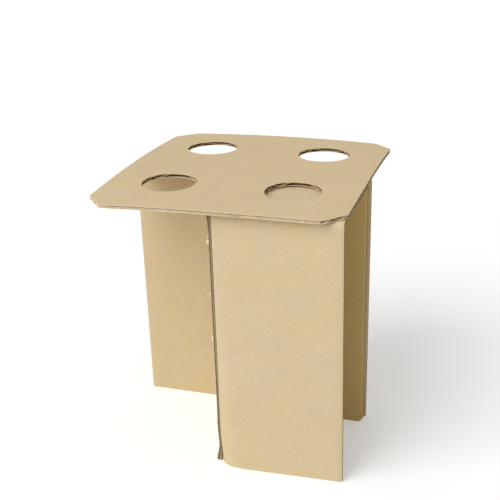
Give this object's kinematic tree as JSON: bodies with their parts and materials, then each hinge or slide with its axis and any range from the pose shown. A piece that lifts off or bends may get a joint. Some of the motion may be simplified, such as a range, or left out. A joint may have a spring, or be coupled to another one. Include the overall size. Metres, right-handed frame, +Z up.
{
  "type": "corrugated bottle divider set",
  "caption": "Inner fitment of a wine bottle shipping box: crossed corrugated walls, a folded space pad in one cell and a flat neck plate with round holes.",
  "frame": {"origin": "on the floor, under the middle of the neck plate, on the line where the two walls cross", "axes": "+Z up, +X to the right along the cross wall, -Y to the front, where the folded pad's closed panel faces"},
  "size_m": [0.186, 0.193, 0.203],
  "materials": {
    "wall_board": "uncoated kraft corrugated board, matt",
    "plate_board": "uncoated kraft corrugated board, matt",
    "pad_board": "uncoated kraft corrugated board, matt"
  },
  "bodies": {
    "root": {"centre_wall": "wall_board", "cross_wall": "wall_board", "neck_plate": "plate_board", "space_pad": "pad_board"}
  },
  "joints": []
}
